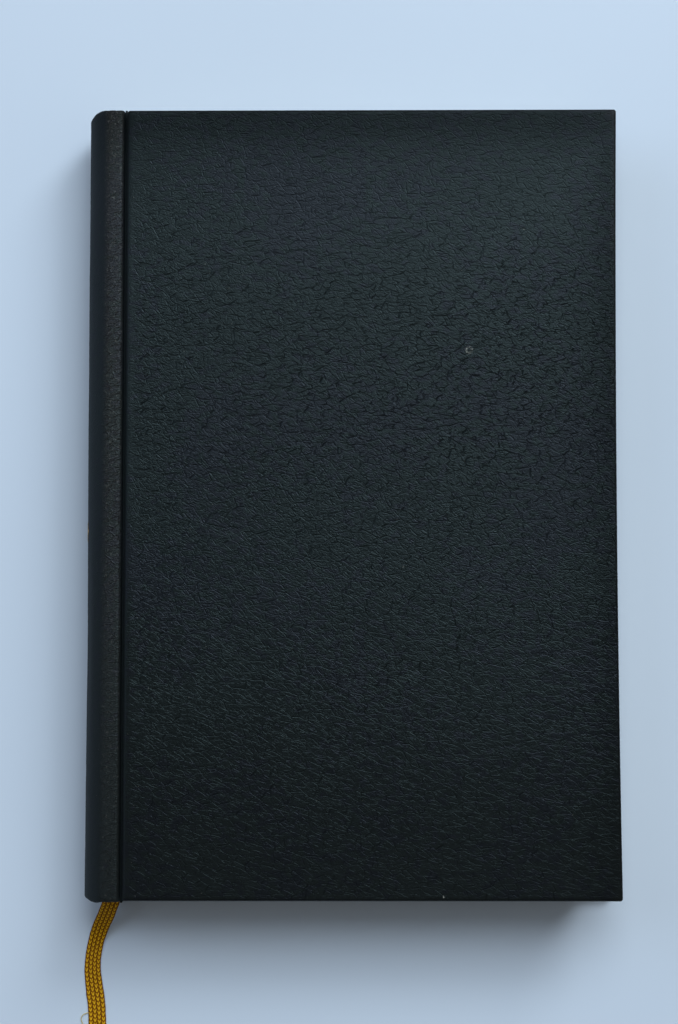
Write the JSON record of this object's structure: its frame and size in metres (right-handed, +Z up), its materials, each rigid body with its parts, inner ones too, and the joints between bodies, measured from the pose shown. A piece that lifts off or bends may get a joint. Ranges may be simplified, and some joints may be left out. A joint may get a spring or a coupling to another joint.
{
  "type": "hardback book",
  "caption": "Closed hardback book in black grained leatherette, with a round spine, grooved cover joints, headbands and a gold ribbon marker.",
  "frame": {"origin": "on the table under the middle of the closed book, measured without the free end of the ribbon", "axes": "+X from the spine to the fore-edge, +Y from the tail to the head, +Z up; the book lies on its back cover"},
  "size_m": [0.1399, 0.2612, 0.025],
  "materials": {
    "pages": "uncoated cream paper, cut edges",
    "endpaper": "smooth off-white endpaper",
    "gauze": "open cotton gauze",
    "kraft": "brown lining paper",
    "band": "sewn bead, gold and black thread",
    "ribbon": "knitted old-gold ribbon with lengthwise ribs",
    "board": "grey board",
    "leatherette": "black embossed leatherette, satin",
    "foil": "gold stamping foil"
  },
  "bodies": {
    "book_block": {"text_block": "pages", "front_flyleaf": "endpaper", "back_flyleaf": "endpaper", "mull": "gauze", "spine_lining": "kraft", "headband": "band", "tailband": "band", "ribbon": "ribbon", "ribbon_tail": "ribbon", "spine_inlay": "board", "spine_covering": "leatherette", "spine_foil": "foil"},
    "front_cover": {"front_board": "board", "front_covering": "leatherette", "front_mull_flap": "gauze", "front_pastedown": "endpaper"},
    "back_cover": {"back_board": "board", "back_covering": "leatherette", "back_mull_flap": "gauze", "back_pastedown": "endpaper"}
  },
  "joints": [
    {"name": "front_hinge", "type": "hinge", "parent": "book_block", "child": "front_cover", "pos_m": [-0.05876, 0, 0.0246], "axis": [0, -1, 0], "range_deg": [0, 179.9]},
    {"name": "back_hinge", "type": "hinge", "parent": "book_block", "child": "back_cover", "pos_m": [-0.05876, 0, 0.0004], "axis": [0, 1, 0], "range_deg": [0, 179.9]}
  ]
}
